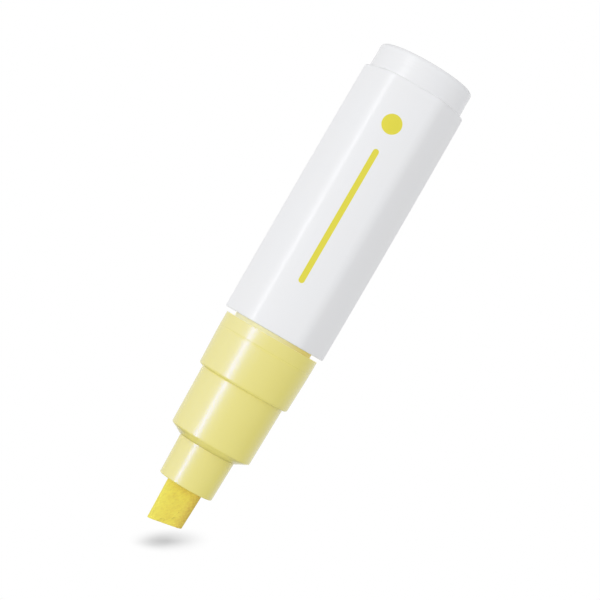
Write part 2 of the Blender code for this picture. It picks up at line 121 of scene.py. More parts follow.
# %% [markdown]
# ## From points to a piece
# Every piece is a mesh at the origin whose vertices already sit at their place in the frame. It rides on
# the body of the node that it replaces, and it gets its finish further down. Smooth shading with sharp
# edges kept above an angle makes fine facets look like one turned surface.

# %% Helper that turns a mesh into a piece
SHARP_ANGLE = math.radians(35)


def add_object(name, data):
    """Put a mesh, a camera or a lamp in the scene."""
    item = bpy.data.objects.new(name, data)
    bpy.context.scene.collection.objects.link(item)
    return item


def add_piece(name, shape, node, body):
    """Put a bmesh in the scene as the piece that stands for a node."""
    bmesh.ops.recalc_face_normals(shape, faces=shape.faces[:])
    mesh = bpy.data.meshes.new(name)
    shape.to_mesh(mesh)
    shape.free()
    mesh.shade_smooth()
    mesh.set_sharp_from_angle(angle=SHARP_ANGLE)
    piece = add_object(name, mesh)
    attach(piece, body)
    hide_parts(node)
    print(f"{name}: {len(mesh.vertices)} vertices, {len(mesh.polygons)} faces")
    return piece


print(f"edges stay sharp above {math.degrees(SHARP_ANGLE):.0f} degrees")

# %% [markdown]
# ## Turning on a lathe
# The tail plug and the front housing are round, so each is a profile spun once about the axis. A modifier
# could spin it too, but a bmesh spin gives a plain mesh at once, and the seam is welded by joining points
# that coincide.

# %% Helper that spins a profile
TURN_STEPS = 160
WELD = 0.0005 * MM


def lathe(corners):
    """Spin a profile of (radius, height, rounding) corners; it is closed unless it starts on the axis."""
    points = rounded(corners)
    shape = bmesh.new()
    verts = [shape.verts.new((point.x, 0, point.y)) for point in points]
    edges = [shape.edges.new(pair) for pair in zip(verts, verts[1:])]
    if points[0].x > 0:
        edges.append(shape.edges.new((verts[-1], verts[0])))
    bmesh.ops.spin(
        shape,
        geom=verts + edges,
        cent=(0, 0, 0),
        axis=(0, 0, 1),
        angle=2 * math.pi,
        steps=TURN_STEPS,
    )
    bmesh.ops.remove_doubles(shape, verts=shape.verts[:], dist=WELD)
    return shape


print("a full turn has", TURN_STEPS, "steps")

# %% [markdown]
# ## Sealing ribs
# Pieces that are pushed into a bore carry two thin ribs that bite into its wall. They are hidden on a
# finished marker, but they are part of the profile, so one helper adds them wherever a spigot is drawn.

# %% Helper that adds ribs to a spigot
RIB_COUNT = 2
RIB_WIDTH = 0.8 * MM
RIB_HEIGHT = 0.07 * MM


def ribs(radius, bottom, top):
    """Corners of the ribs of a spigot, from its top down."""
    corners = []
    pitch = (top - bottom) / (RIB_COUNT + 1)
    for index in range(RIB_COUNT):
        crest = top - (index + 1) * pitch
        corners.append((radius, crest + RIB_WIDTH / 2, 0))
        corners.append((radius + RIB_HEIGHT, crest, 0))
        corners.append((radius, crest - RIB_WIDTH / 2, 0))
    return corners


print(f"a spigot has {RIB_COUNT} ribs, {RIB_HEIGHT / MM:.2f} mm high")

# %% [markdown]
# ## The tail plug
# The white plug closes the rear of the barrel. Its head has a soft outer edge and a faint waist, where the
# cap would sit when it is pushed on the tail. The end has a shallow round recess, where the mould was
# filled. The solids keep a seat gap between plug and barrel. On a finished marker they touch, so here only
# a hairline seam is left.

# %% Turn the tail plug
SEAM = 0.005 * MM
TAIL_EDGE = 0.9 * MM
TAIL_FLOOR = 2.0 * MM
TAIL_WALL = 1.4 * MM
WAIST_MIDDLE = 2.7 * MM
WAIST_HALF = 1.1 * MM
WAIST_FLAT = 0.35 * MM
WAIST_DEPTH = 0.06 * MM
WAIST_EASE = 1.2 * MM
RECESS_RADIUS = 3.0 * MM
RECESS_DEPTH = 0.5 * MM
RECESS_EDGE = 0.15 * MM
SPIGOT_RADIUS = 9.6 * MM
SPIGOT_EDGE = 0.4 * MM
CUP_EDGE = 0.2 * MM
CUP_FILLET = 0.5 * MM

head = reach("tail_plug")
head_top = barrel_rear - SEAM
cup = SPIGOT_RADIUS - TAIL_WALL
tail_corners = [
    (0, TAIL_FLOOR, 0),
    (cup, TAIL_FLOOR, CUP_FILLET),
    (cup, tail_top, CUP_EDGE),
    (SPIGOT_RADIUS, tail_top, SPIGOT_EDGE),
    *ribs(SPIGOT_RADIUS, head_top, tail_top),
    (SPIGOT_RADIUS, head_top, 0),
    (head, head_top, 0),
    (head, WAIST_MIDDLE + WAIST_HALF, WAIST_EASE),
    (head - WAIST_DEPTH, WAIST_MIDDLE + WAIST_FLAT, WAIST_EASE),
    (head - WAIST_DEPTH, WAIST_MIDDLE - WAIST_FLAT, WAIST_EASE),
    (head, WAIST_MIDDLE - WAIST_HALF, WAIST_EASE),
    (head, tail_end, TAIL_EDGE),
    (RECESS_RADIUS, tail_end, RECESS_EDGE),
    (RECESS_RADIUS, RECESS_DEPTH, RECESS_EDGE),
    (0, RECESS_DEPTH, 0),
]
tail_stopper = add_piece("tail_stopper", lathe(tail_corners), "tail_plug", "casing")

# %% [markdown]
# ## The front housing
# The pale yellow housing steps down from the barrel to the nib: a neck, a collar that a cap snaps over, a
# long shank and a short cone. A hairline groove runs round the collar. All of it is one moulding, so it is
# one profile, with the bores for the valve and the nib sleeve on its inner side. The corner between neck
# and collar is left sharp, because a fillet in that narrow groove would only draw a dark line.

# %% Heights and radii of the front housing
SPIGOT_WALL = 1.3 * MM
NECK_LENGTH = 0.8 * MM
COLLAR_LENGTH = 13.0 * MM
COLLAR_TAPER = 0.7 * MM
COLLAR_LAND = 3.3 * MM
COLLAR_EDGE = 0.6 * MM
COLLAR_REAR_EDGE = 0.06 * MM
LINE_WIDTH = 0.5 * MM
LINE_DEPTH = 0.06 * MM
LINE_EASE = 0.2 * MM
SHANK_RADIUS = 10.15 * MM
SHANK_TAPER = 0.6 * MM
SHANK_EDGE = 0.4 * MM
CONE_LENGTH = 1.5 * MM
STEP_FILLET = 0.4 * MM
HOLDER_BORE = 6.9 * MM
NOSE_LIP = 0.1 * MM
WEB_HOLE = 5.74 * MM
WEB_THICKNESS = 2.0 * MM
SEAT_GAP = 0.3 * MM

collar = reach("front_housing")
collar_rear = barrel_front + NECK_LENGTH
collar_front = collar_rear + COLLAR_LENGTH
line = collar_rear + COLLAR_LAND
cone_rear = nose - CONE_LENGTH
web_front = holder_rear - SEAT_GAP
web_rear = web_front - WEB_THICKNESS
valve_bore = SPIGOT_RADIUS - SPIGOT_WALL
print(f"collar from {collar_rear / MM:.1f} to {collar_front / MM:.1f} mm, cone from {cone_rear / MM:.1f} mm")

# %% Turn the front housing
housing_corners = [
    (HOLDER_BORE + NOSE_LIP, nose, 0),
    (SHANK_RADIUS - SHANK_TAPER / 2, cone_rear, SHANK_EDGE),
    (SHANK_RADIUS, collar_front, STEP_FILLET),
    (collar - COLLAR_TAPER / 2, collar_front, COLLAR_EDGE),
    (collar, line + LINE_WIDTH / 2, LINE_EASE),
    (collar - LINE_DEPTH, line, LINE_EASE),
    (collar, line - LINE_WIDTH / 2, LINE_EASE),
    (collar, collar_rear, COLLAR_REAR_EDGE),
    (SPIGOT_RADIUS, collar_rear, 0),
    *ribs(SPIGOT_RADIUS, housing_rear, barrel_front),
    (SPIGOT_RADIUS, housing_rear, COLLAR_EDGE),
    (valve_bore, housing_rear, 0),
    (valve_bore, web_rear, 0),
    (WEB_HOLE, web_rear, 0),
    (WEB_HOLE, web_front, 0),
    (HOLDER_BORE, web_front, 0),
    (HOLDER_BORE, nose, 0),
]
front_shape = lathe(housing_corners)
front_moulding = add_piece("front_moulding", front_shape, "front_housing", "casing")

# %% [markdown]
# ## Lofting rings
# The barrel, the nib sleeve and the nib aren't round all through, so a lathe can't make them. Each is a
# stack of rings with equally many points, joined ring to ring with four-sided faces. A tube joins its last
# ring to its first, and a solid block gets a face across each end.

# %% Helpers that loft rings
def loft(rings, capped):
    """Join rings of points into a block with capped ends, or into a closed tube."""
    shape = bmesh.new()
    loops = [[shape.verts.new(point) for point in ring] for ring in rings]
    pairs = list(zip(loops, loops[1:]))
    if not capped:
        pairs.append((loops[-1], loops[0]))
    for below, above in pairs:
        for index in range(len(below)):
            shape.faces.new((below[index - 1], below[index], above[index], above[index - 1]))
    if capped:
        shape.faces.new(loops[0])
        shape.faces.new(loops[-1])
    return shape


def raised(outline, height):
    """An outline in plan, as a ring at a height."""
    return [Vector((point.x, point.y, height)) for point in outline]


def circle_along(outline, radius):
    """A circle whose points lie in the same directions from the axis as those of an outline."""
    return [point.normalized() * radius for point in outline]


# %% [markdown]
# ## The barrel
# The white barrel looks round at first sight, but light shows six broad faces. Each face is slightly
# crowned and runs smoothly into a rounded corner, so the outline is twelve arcs: six wide ones and six
# small ones that meet in tangents. Arcs about the same centres with a smaller radius give the same outline
# set in by a little, which is all that the rounded rims need.

# %% Outline of the barrel
BARREL_SIDES = 6
FACE_RADIUS = 33.0 * MM
CORNER_RADIUS = 4.0 * MM
FACE_STEPS = 14
CORNER_STEPS = 14


def arc(centre, radius, start, end, steps):
    """Points along an arc, without its end point."""
    angles = [start + (end - start) * step / steps for step in range(steps)]
    return [centre + radius * Vector((math.cos(angle), math.sin(angle))) for angle in angles]


def barrel_outline(inset):
    """Twelve arcs of the barrel's section, set in by a distance."""
    low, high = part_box("barrel")
    half_side = math.pi / BARREL_SIDES
    crown = FACE_RADIUS - (high.y - low.y) / 2
    spread = FACE_RADIUS - CORNER_RADIUS
    corner = math.sqrt(spread ** 2 - (crown * math.sin(half_side)) ** 2) - crown * math.cos(half_side)
    join = math.asin(corner * math.sin(half_side) / spread)
    outline = []
    for side in range(BARREL_SIDES):
        facing = math.pi / 2 + 2 * half_side * side
        face_centre = Vector((math.cos(facing), math.sin(facing))) * -crown
        corner_centre = Vector((math.cos(facing + half_side), math.sin(facing + half_side))) * corner
        outline += arc(face_centre, FACE_RADIUS - inset, facing - join, facing + join, FACE_STEPS)
        after = facing + 2 * half_side - join
        outline += arc(corner_centre, CORNER_RADIUS - inset, facing + join, after, CORNER_STEPS)
    return outline


print("barrel outline:", len(barrel_outline(0)), "points")

# %% [markdown]
# The rings start inside the rear mouth, come out over the rear rim, run forward along the outside, go in
# over the front rim and back through the bore. Each rim is a quarter circle of rings that move in and along
# the axis together. The rear rim is never drawn inside the head of the plug, so that no dark groove opens
# between them. The tube is a trace slimmer towards its ends, which keeps long reflections from looking
# ruled.

# %% Loft the barrel
FRONT_RIM = 0.3 * MM
REAR_RIM = 0.5 * MM
BORE_RADIUS = 9.75 * MM
LEAD_IN = 0.4 * MM
RIM_STEPS = 6
BODY_STEPS = 16
SLIM = 0.02 * MM
SLIM_TO_ENDS = 0.42 * MM
WIDEST_AT = 0.4
FRONT_SETBACK = 0.1 * MM


def slimmer(height):
    """How far the outline is set in at a height: least a little behind the middle, most at the front."""
    off_widest = (height - barrel_rear) / (barrel_front - barrel_rear) - WIDEST_AT
    return SLIM + SLIM_TO_ENDS * off_widest ** 2


def barrel_end(face, inward, rim, least):
    """Rings of one end from the bore over the rim; inward is the way in, least the smallest radius."""
    outline = barrel_outline(0)
    rings = [
        raised(circle_along(outline, BORE_RADIUS), face + inward * LEAD_IN),
        raised(circle_along(outline, BORE_RADIUS + LEAD_IN), face),
    ]
    for step in range(RIM_STEPS + 1):
        angle = math.pi / 2 * step / RIM_STEPS
        inset = slimmer(face) + rim * (1 - math.sin(angle))
        ring = [point * max(1, least / point.length) for point in barrel_outline(inset)]
        rings.append(raised(ring, face + inward * rim * (1 - math.cos(angle))))
    return rings


barrel_rings = barrel_end(barrel_rear, inward=1, rim=REAR_RIM, least=head)
for step in range(1, BODY_STEPS):
    height = barrel_rear + REAR_RIM + (barrel_front - barrel_rear - 2 * REAR_RIM) * step / BODY_STEPS
    barrel_rings.append(raised(barrel_outline(slimmer(height)), height))
front_face = barrel_front - FRONT_SETBACK
barrel_rings += reversed(barrel_end(front_face, inward=-1, rim=FRONT_RIM, least=0))
barrel_tube = add_piece("barrel_tube", loft(barrel_rings, capped=False), "barrel", "casing")

# %% [markdown]
# ## The nib sleeve
# A round yellow sleeve sits in the nose and guides the nib in a slot. The slot is a rounded rectangle, with
# a small vent on each narrow side so that air can come in as paint goes out. Long straight runs get extra
# points, because the round outside takes its points in the same directions as the slot does.

# %% Outline of the slot
NIB_GAP = 0.15 * MM
NIB_CORNER = 1.6 * MM
VENT_WIDTH = 1.6 * MM
VENT_DEPTH = 0.8 * MM
RUN_STEP = 0.25 * MM


def spaced(outline):
    """An outline with extra points, so that none is far from the next."""
    points = []
    for point, following in zip(outline, outline[1:] + outline[:1]):
        runs = max(1, math.ceil((following - point).length / RUN_STEP))
        points += [point.lerp(following, run / runs) for run in range(runs)]
    return points


nib_low, nib_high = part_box("nib")
nib_half_width = (nib_high.x - nib_low.x) / 2
nib_half_depth = (nib_high.y - nib_low.y) / 2
slot_x = nib_half_width + NIB_GAP
slot_y = nib_half_depth + NIB_GAP
half_vent = VENT_WIDTH / 2
slot_half = [
    (slot_x, slot_y, NIB_CORNER + NIB_GAP),
    (slot_x, half_vent, 0),
    (slot_x + VENT_DEPTH, half_vent, 0),
    (slot_x + VENT_DEPTH, -half_vent, 0),
    (slot_x, -half_vent, 0),
    (slot_x, -slot_y, NIB_CORNER + NIB_GAP),
]
slot_outline = spaced(rounded(slot_half + [(-x, -y, rounding) for x, y, rounding in slot_half]))
print("slot outline:", len(slot_outline), "points")

# %% Loft the sleeve
SLEEVE_TAPER = 0.5 * MM
SLEEVE_EDGE = 0.25 * MM
MOUTH_EDGE = 0.12 * MM

sleeve_radius = reach("nib_holder")
sleeve_profile = rounded([
    (sleeve_radius - SLEEVE_TAPER / 2 - 2 * SLEEVE_EDGE, holder_front, 0),
    (sleeve_radius - SLEEVE_TAPER / 2, holder_front, SLEEVE_EDGE),
    (sleeve_radius, nose, 0),
    *ribs(sleeve_radius, holder_rear, nose),
    (sleeve_radius, holder_rear, SLEEVE_EDGE),
    (sleeve_radius - 2 * SLEEVE_EDGE, holder_rear, 0),
])
mouth_outline = [point * (1 + MOUTH_EDGE / point.length) for point in slot_outline]
sleeve_rings = [raised(circle_along(slot_outline, point.x), point.y) for point in sleeve_profile]
sleeve_rings += [
    raised(slot_outline, holder_rear),
    raised(slot_outline, holder_front - MOUTH_EDGE),
    raised(mouth_outline, holder_front),
]
sleeve_shape = loft(sleeve_rings, capped=False)
nib_sleeve = add_piece("nib_sleeve", sleeve_shape, "nib_holder", "casing")

# %% [markdown]
# ## The nib
# The nib is a block of bonded fibre with a slanted writing end. Its broad sides are flat, its long edges
# are soft, and close up the surface is matted rather than smooth. The rings are spaced closely where the
# nib shows, and the last ones turn over the rim and close in on the middle of the writing end.

# %% Loft the nib
NIB_TAPER = 0.6 * MM
NIB_SLANT = math.radians(10.5)
NIB_RIM = 0.1 * MM
NIB_STEP = 0.14 * MM
TIP_STEPS = 14
NIB_SPACING = 0.14 * MM
NIB_HEEL_SCALE = 0.9

nib_outline_corners = [
    (nib_half_width, nib_half_depth, NIB_CORNER),
    (nib_half_width, -nib_half_depth, NIB_CORNER),
    (-nib_half_width, -nib_half_depth, NIB_CORNER),
    (-nib_half_width, nib_half_depth, NIB_CORNER),
]


def even(outline, spacing):
    """A closed outline walked in equal steps."""
    lengths = [(after - point).length for point, after in zip(outline, outline[1:] + outline[:1])]
    total = sum(lengths)
    count = round(total / spacing)
    points = []
    index, passed = 0, 0.0
    for step in range(count):
        goal = total * step / count
        while passed + lengths[index] < goal:
            passed += lengths[index]
            index += 1
        following = outline[(index + 1) % len(outline)]
        points.append(outline[index].lerp(following, (goal - passed) / lengths[index]))
    return points


nib_outline = even(rounded(nib_outline_corners), NIB_SPACING)
tip_half_width = nib_half_width - NIB_TAPER / 2


def nib_ring(rise, shrink, drop):
    """Ring of the exposed nib: rise is 0 at the sleeve and 1 at the tip, shrink and drop round the rim."""
    points = []
    for point in nib_outline:
        across = point.x * (1 - rise * NIB_TAPER / 2 / nib_half_width) * shrink
        end = nib_tip - drop - (tip_half_width - across) * math.tan(NIB_SLANT)
        points.append(Vector((across, point.y * shrink, holder_front + rise * (end - holder_front))))
    return points


nib_rings = [
    raised([point * NIB_HEEL_SCALE for point in nib_outline], nib_rear),
    raised(nib_outline, nib_rear + NIB_RIM),
]
exposed_steps = round((nib_tip - holder_front) / NIB_STEP)
nib_rings += [nib_ring(step / exposed_steps, 1, NIB_RIM) for step in range(exposed_steps + 1)]
for step in range(1, ARC_STEPS + 1):
    angle = math.pi / 2 * step / ARC_STEPS
    shrink = 1 - NIB_RIM * (1 - math.cos(angle)) / nib_half_depth
    nib_rings.append(nib_ring(1, shrink, NIB_RIM * (1 - math.sin(angle))))
rim_shrink = 1 - NIB_RIM / nib_half_depth
nib_rings += [nib_ring(1, rim_shrink * (1 - step / TIP_STEPS), 0) for step in range(1, TIP_STEPS)]
nib_shape = loft(nib_rings, capped=True)
print("nib rings:", len(nib_rings), "of", len(nib_outline), "points")

# %% [markdown]
# Matted fibre is a relief of short ridges in every direction. A noise that is stretched along one direction
# gives long ridges, so two of them that are stretched along crossed directions are taken, and the higher
# one wins at each point. The relief only ever goes inwards, because the nib has to slide in its slot.

# %% Mat the surface of the nib
FIBRE_DEPTH = 0.05 * MM
FIBRE_WIDTH = 0.3 * MM
FIBRE_STRETCH = 3.5
FIBRE_LEAN = math.radians(35)
FIBRE_CONTRAST = 2.5


def fibre_relief(place):
    """Depth of the matted surface at a place, from 0 on a ridge to 1 between ridges."""
    ridges = []
    for lean in (FIBRE_LEAN, -FIBRE_LEAN):
        turned = Matrix.Rotation(lean, 3, "Y") @ place
        turned.z /= FIBRE_STRETCH
        ridges.append(abs(noise.noise(turned / FIBRE_WIDTH)))
    return min(1.0, min(ridges) * FIBRE_CONTRAST)


bmesh.ops.recalc_face_normals(nib_shape, faces=nib_shape.faces[:])
nib_shape.normal_update()
moves = [vert.normal * -FIBRE_DEPTH * fibre_relief(vert.co) for vert in nib_shape.verts]
for vert, move in zip(nib_shape.verts, moves):
    if vert.co.z > holder_front - NIB_RIM:
        vert.co += move
fibre_nib = add_piece("fibre_nib", nib_shape, "nib", "nib")

# %% [markdown]
# ## The return spring
# A coil of round wire pushes the valve shut and the nib out. Its end turns lie almost flat against their
# neighbours, as they do on a real compression spring. The wire is a small ring swept along the coil. On the
# marker the spring is the one piece that changes length, squashed towards its rear end as the valve is
# pushed back; here it is swept at rest and given a mesh of its own.

# %% Sweep the spring wire
WIRE_RADIUS = 0.35 * MM
COIL_RADIUS = 2.5 * MM
COIL_TURNS = 7
END_TURNS = 1
END_PITCH = 0.78 * MM
TURN_POINTS = 48
WIRE_POINTS = 14

spring_rear, spring_front = ends("return_spring")
coil_rise = spring_front - spring_rear - 2 * WIRE_RADIUS
open_turns = COIL_TURNS - 2 * END_TURNS
open_pitch = (coil_rise - 2 * END_TURNS * END_PITCH) / open_turns


def coil_ring(turn):
    """Ring of wire points round the coil at a number of turns."""
    opened = min(max(turn - END_TURNS, 0), open_turns)
    height = spring_rear + WIRE_RADIUS + (turn - opened) * END_PITCH + opened * open_pitch
    outward = Vector((math.cos(2 * math.pi * turn), math.sin(2 * math.pi * turn), 0))
    centre = outward * COIL_RADIUS + Vector((0, 0, height))
    upward = Vector((0, 0, 1))
    ring = []
    for index in range(WIRE_POINTS):
        angle = 2 * math.pi * index / WIRE_POINTS
        ring.append(centre + WIRE_RADIUS * (math.cos(angle) * outward + math.sin(angle) * upward))
    return ring


coil_rings = [coil_ring(step / TURN_POINTS) for step in range(COIL_TURNS * TURN_POINTS + 1)]
coil_spring = add_piece("coil_spring", loft(coil_rings, capped=True), "return_spring", "casing")
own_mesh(coil_spring)

# %% [markdown]
# ## Wiring nodes
# A material is a small graph. These helpers keep the graphs short to write: one adds a node and fills its
# sockets with numbers or with wires from other nodes, one does arithmetic, one blends two colours by a
# mask, and one moves a value to a new range. The Mix node has sockets of the same names for every kind of
# data, so its colour sockets are found by their numbers.

# %% Helpers for node graphs
MIX_MASK, MIX_FIRST, MIX_SECOND, MIX_RESULT = 0, 6, 7, 2


def fill(tree, socket, value):
    """Put a wire or a plain value into a socket."""
    if isinstance(value, bpy.types.NodeSocket):
        tree.links.new(value, socket)
    else:
        socket.default_value = value


def fill_named(tree, node, **sockets):
    """Fill a node's named sockets; an underscore stands for a space."""
    for name, value in sockets.items():
        fill(tree, node.inputs[name.replace("_", " ")], value)


def add_node(tree, kind, **sockets):
    """Add a node and fill its named sockets."""
    node = tree.nodes.new("ShaderNode" + kind)
    fill_named(tree, node, **sockets)
    return node


def calc(tree, operation, first, second=0.0):
    """One step of arithmetic on numbers or wires."""
    node = tree.nodes.new("ShaderNodeMath")
    node.operation = operation
    fill(tree, node.inputs[0], first)
    fill(tree, node.inputs[1], second)
    return node.outputs[0]


def blend_colours(tree, mask, first, second):
    """The first colour where the mask is 0 and the second where it is 1."""
    node = tree.nodes.new("ShaderNodeMix")
    node.data_type = "RGBA"
    fill(tree, node.inputs[MIX_MASK], mask)
    fill(tree, node.inputs[MIX_FIRST], first)
    fill(tree, node.inputs[MIX_SECOND], second)
    return node.outputs[MIX_RESULT]


def stretch(tree, value, low, high, new_low=0.0, new_high=1.0):
    """Move a value from one range to another and stop at its ends."""
    limits = {"From Min": low, "From Max": high, "To Min": new_low, "To Max": new_high}
    return add_node(tree, "MapRange", Value=value, **limits).outputs[0]


def object_place(tree):
    """A point's place in the frame, in metres."""
    return add_node(tree, "TexCoord").outputs["Object"]


def tilted(tree, place, angle):
    """A place turned about the marker's Y axis."""
    node = add_node(tree, "VectorRotate", Vector=place, Angle=angle)
    node.rotation_type = "Y_AXIS"
    return node.outputs[0]


def noise_at(tree, place, scale, **sockets):
    """Values of a noise texture, near 0 to 1 with most of them round 0.5."""
    return add_node(tree, "TexNoise", Vector=place, Scale=scale, **sockets).outputs[0]


print("node helpers:", [helper.__name__ for helper in (add_node, calc, blend_colours, stretch, noise_at)])

# %% [markdown]
# ## Groups: effects that several finishes share
# An effect that more than one finish uses becomes a node group with named inputs, so that each finish can
# set it to its own taste. All groups read object coordinates, which are the frame's own metres, so a scale
# of 1000 means features of about a millimetre on every piece.

# %% Helper that starts a group
def start_group(name, inputs, outputs):
    """An empty group with number or colour sockets, what comes into it and what goes out."""
    group = bpy.data.node_groups.new(name, "ShaderNodeTree")
    for way, sockets in (("INPUT", inputs), ("OUTPUT", outputs)):
        for label, default in sockets.items():
            kind = "NodeSocketFloat" if isinstance(default, float) else "NodeSocketColor"
            socket = group.interface.new_socket(label, in_out=way, socket_type=kind)
            socket.default_value = default
    print("group", name, "puts out", list(outputs))
    return group, group.nodes.new("NodeGroupInput").outputs, group.nodes.new("NodeGroupOutput").inputs


def place_group(tree, group, **sockets):
    """Put a group into a material and fill its inputs."""
    node = tree.nodes.new("ShaderNodeGroup")
    node.node_tree = group
    fill_named(tree, node, **sockets)
    return node


# %% [markdown]
# **Mould skin.** Plastic copies the steel of its mould: a gentle orange peel about a millimetre wide and a
# much finer grain on top of it. The group puts out their height, and a mask of patches that are a little
# duller than the rest.

# %% Group for mould skin
PATCH_SCALE = 160.0
PATCH_BAND = (0.35, 0.7)

mould_skin, skin_in, skin_out = start_group(
    "mould_skin",
    {"Peel Scale": 700.0, "Grain Scale": 7000.0, "Grain Share": 0.2},
    {"Height": 0.0, "Dull Patches": 0.0},
)
place = object_place(mould_skin)
peel = noise_at(mould_skin, place, skin_in["Peel Scale"], Detail=2.0)
grain = noise_at(mould_skin, place, skin_in["Grain Scale"], Detail=3.0)
patches = noise_at(mould_skin, place, PATCH_SCALE, Detail=4.0, Roughness=0.6)
grain = calc(mould_skin, "MULTIPLY", grain, skin_in["Grain Share"])
fill(mould_skin, skin_out["Height"], calc(mould_skin, "ADD", peel, grain))
fill(mould_skin, skin_out["Dull Patches"], stretch(mould_skin, patches, *PATCH_BAND))

# %% [markdown]
# **Colour drift.** Pigment is never mixed quite evenly. The group moves a colour a little towards a second
# one, in soft clouds that are a few millimetres to a few centimetres wide.

# %% Group for colour drift
DRIFT_BAND = (0.3, 0.7)
LIGHT_GREY = (0.8, 0.8, 0.8, 1.0)
GREY = (0.7, 0.7, 0.7, 1.0)

colour_drift, drift_in, drift_out = start_group(
    "colour_drift",
    {"Colour": LIGHT_GREY, "Other Colour": GREY, "Scale": 90.0, "Amount": 0.5},
    {"Colour": LIGHT_GREY},
)
clouds = noise_at(colour_drift, object_place(colour_drift), drift_in["Scale"], Detail=5.0, Roughness=0.55)
share = calc(colour_drift, "MULTIPLY", stretch(colour_drift, clouds, *DRIFT_BAND), drift_in["Amount"])
drifted = blend_colours(colour_drift, share, drift_in["Colour"], drift_in["Other Colour"])
fill(colour_drift, drift_out["Colour"], drifted)

# %% [markdown]
# **Fine scratches.** Handling leaves hairlines that only show in the gloss. Noise that is stretched hard in
# one direction gives parallel streaks, and a narrow band of its values gives thin broken lines.

# %% Group for fine scratches
STREAK_SQUEEZE = (1.0, 1.0, 0.04)
STREAK_MIDDLE = 0.5
BREAK_SCALE = 260.0
BREAK_BAND = (0.52, 0.62)

fine_scratches, scratch_in, scratch_out = start_group(
    "fine_scratches",
    {"Scale": 500.0, "Width": 0.02, "Turn": 0.5},
    {"Lines": 0.0},
)
place = object_place(fine_scratches)
turned = tilted(fine_scratches, place, scratch_in["Turn"])
squeezed = add_node(fine_scratches, "Mapping", Vector=turned, Scale=STREAK_SQUEEZE).outputs[0]
streaks = noise_at(fine_scratches, squeezed, scratch_in["Scale"], Detail=2.0, Distortion=0.6)
breaks = noise_at(fine_scratches, place, BREAK_SCALE, Detail=2.0)
off_middle = calc(fine_scratches, "ABSOLUTE", calc(fine_scratches, "SUBTRACT", streaks, STREAK_MIDDLE))
lines = calc(fine_scratches, "LESS_THAN", off_middle, scratch_in["Width"])
lines = calc(fine_scratches, "MULTIPLY", lines, stretch(fine_scratches, breaks, *BREAK_BAND))
fill(fine_scratches, scratch_out["Lines"], lines)

# %% [markdown]
# ## Moulded plastic
# White, yellow and natural plastic are the same stuff with other pigments, so one function makes them all.
# Drift colours it, mould skin gives the bump and the dull patches, and scratches roughen a few hairlines.
# Patches and hairlines are kept weak, because the marker is new and its highlights run clean from end to
# end.

# %% Function for moulded plastic
PATCH_DULLNESS = 0.015
HAIRLINE_DULLNESS = 0.012


def start_material(name):
    """A material with an empty principled shader."""
    material = bpy.data.materials.new(name)
    material.use_nodes = True
    return material, material.node_tree, material.node_tree.nodes["Principled BSDF"]


def moulded_plastic(name, colour, other_colour, roughness, gloss, peel_height, drift=0.5):
    """Plastic from a mould: drifting pigment, orange peel and a few hairlines."""
    material, tree, shader = start_material(name)
    shader.inputs["Specular IOR Level"].default_value = gloss
    pigment = place_group(tree, colour_drift, Colour=colour, Other_Colour=other_colour, Amount=drift)
    skin = place_group(tree, mould_skin)
    marks = place_group(tree, fine_scratches)
    rough = calc(tree, "MULTIPLY", skin.outputs["Dull Patches"], PATCH_DULLNESS)
    rough = calc(tree, "ADD", rough, calc(tree, "MULTIPLY", marks.outputs["Lines"], HAIRLINE_DULLNESS))
    rough = calc(tree, "ADD", rough, roughness)
    bump = add_node(tree, "Bump", Height=skin.outputs["Height"], Strength=1.0, Distance=peel_height)
    fill_named(tree, shader, Base_Color=pigment.outputs["Colour"], Roughness=rough, Normal=bump.outputs[0])
    return material


def dress(material, *objects):
    """Give objects a material in place of what they have."""
    for item in objects:
        item.data.materials.clear()
        item.data.materials.append(material)
    print(material.name, "on", [item.name for item in objects])


# %% [markdown]
# ## Yellow and white plastic
# The yellow of the front is pale and milky, and a shade deeper where it drifts. Its gloss has a cool tint,
# which keeps the highlights white on a warm colour. The white of the tail is a clean, slightly cool one.

# %% Yellow and white plastic
YELLOW = (0.944, 0.858, 0.25, 1.0)
DEEP_YELLOW = (0.928, 0.832, 0.227, 1.0)
WHITE = (0.891, 0.899, 0.92, 1.0)
WARM_WHITE = (0.899, 0.899, 0.906, 1.0)
YELLOW_GLOSS_TINT = (0.1, 0.2, 1.0, 1.0)
PEEL_HEIGHT = 0.0004 * MM

yellow_plastic = moulded_plastic(
    "yellow_plastic", YELLOW, DEEP_YELLOW, roughness=0.15, gloss=1.0, peel_height=PEEL_HEIGHT
)
white_plastic = moulded_plastic(
    "white_plastic", WHITE, WARM_WHITE, roughness=0.14, gloss=0.13, peel_height=PEEL_HEIGHT
)
yellow_plastic.node_tree.nodes["Principled BSDF"].inputs["Specular Tint"].default_value = YELLOW_GLOSS_TINT
dress(yellow_plastic, front_moulding, nib_sleeve)
dress(white_plastic, tail_stopper)

# %% [markdown]
# The neck is a narrow groove, yet it isn't dark on a real marker, because the milky plastic beside it lets
# light through. A faint glow, painted light from an emission that is masked by height, stands for that
# light. It is pale on the lit side and warm on the other, so it paints some shading too. The neck is also
# duller than the rest, so that no stray gleam is caught in it.

# %% Light in the neck
FRONT_GLOW = (0.09, 0.115, 0.205, 1.0)
LIT_SIDE_GLOW = (0.09, 0.12, 0.245, 1.0)
DARK_SIDE_GLOW = (0.125, 0.1, 0.03, 1.0)
GLOW_SPREAD = 8.0 * MM
NECK_SOFT_EDGE = 0.08 * MM
NECK_ROUGHNESS = 0.5
NO_GLOW = (0.0, 0.0, 0.0, 1.0)

